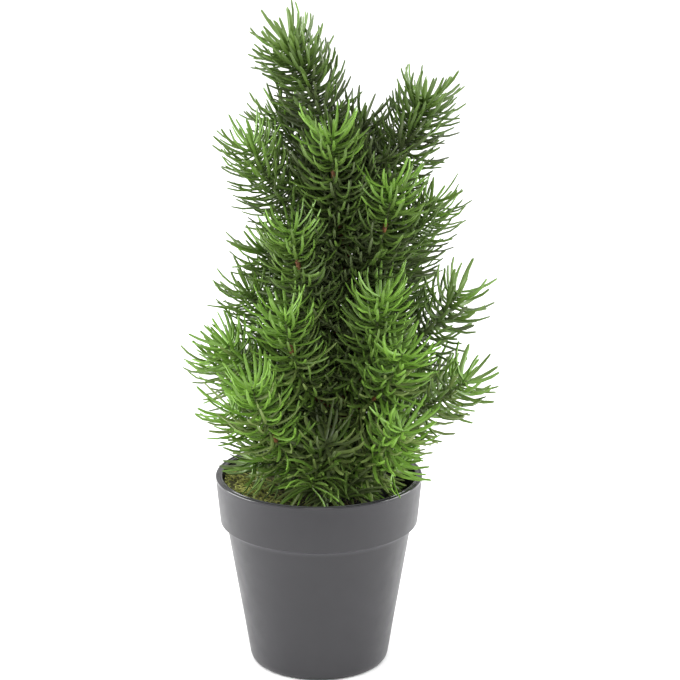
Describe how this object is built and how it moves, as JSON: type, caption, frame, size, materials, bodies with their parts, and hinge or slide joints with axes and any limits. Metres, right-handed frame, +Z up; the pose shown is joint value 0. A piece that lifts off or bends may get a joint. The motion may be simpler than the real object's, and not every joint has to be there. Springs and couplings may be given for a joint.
{
  "type": "artificial tabletop fir in a plastic pot",
  "caption": "Small artificial fir tree of moulded plastic needle sprigs on a bent trunk, standing in a round tapered pot with moss.",
  "frame": {"origin": "centre of the pot's flat underside, on the surface the plant stands on", "axes": "+Z up along the pot's axis, +X towards the plant's right as seen from its front, +Y towards its back"},
  "size_m": [0.1509, 0.1192, 0.3208],
  "materials": {
    "pot_plastic": "satin",
    "fill": "matte",
    "moss": "matte",
    "bark": "matte",
    "foliage": "satin"
  },
  "bodies": {
    "root": {"bough_foot_front": "bark", "bough_foot_front_right": "bark", "bough_foot_left": "bark", "bough_low_back": "bark", "bough_low_back_left": "bark", "bough_low_back_right": "bark", "bough_low_front_left": "bark", "bough_low_front_right": "bark", "bough_low_left": "bark", "bough_low_right": "bark", "bough_middle_back_left": "bark", "bough_middle_back_right": "bark", "bough_middle_far_left": "bark", "bough_middle_front_left": "bark", "bough_middle_front_right": "bark", "bough_middle_left": "bark", "bough_middle_right": "bark", "bough_top_back_left": "bark", "bough_top_back_right": "bark", "bough_top_front": "bark", "bough_top_left": "bark", "bough_top_right": "bark", "bough_upper_back": "bark", "bough_upper_front_left": "bark", "bough_upper_front_right": "bark", "bough_upper_left": "bark", "bough_upper_right": "bark", "fill": "fill", "moss": "moss", "pot": "pot_plastic", "sprig_foot_front": "foliage", "sprig_foot_front_right": "foliage", "sprig_foot_left": "foliage", "sprig_leader": "foliage", "sprig_low_back": "foliage", "sprig_low_back_left": "foliage", "sprig_low_back_right": "foliage", "sprig_low_front_left": "foliage", "sprig_low_front_right": "foliage", "sprig_low_left": "foliage", "sprig_low_right": "foliage", "sprig_middle_back_left": "foliage", "sprig_middle_back_right": "foliage", "sprig_middle_far_left": "foliage", "sprig_middle_front_left": "foliage", "sprig_middle_front_right": "foliage", "sprig_middle_left": "foliage", "sprig_middle_right": "foliage", "sprig_top_back_left": "foliage", "sprig_top_back_right": "foliage", "sprig_top_front": "foliage", "sprig_top_left": "foliage", "sprig_top_right": "foliage", "sprig_upper_back": "foliage", "sprig_upper_front_left": "foliage", "sprig_upper_front_right": "foliage", "sprig_upper_left": "foliage", "sprig_upper_right": "foliage", "trunk": "bark"}
  },
  "joints": []
}
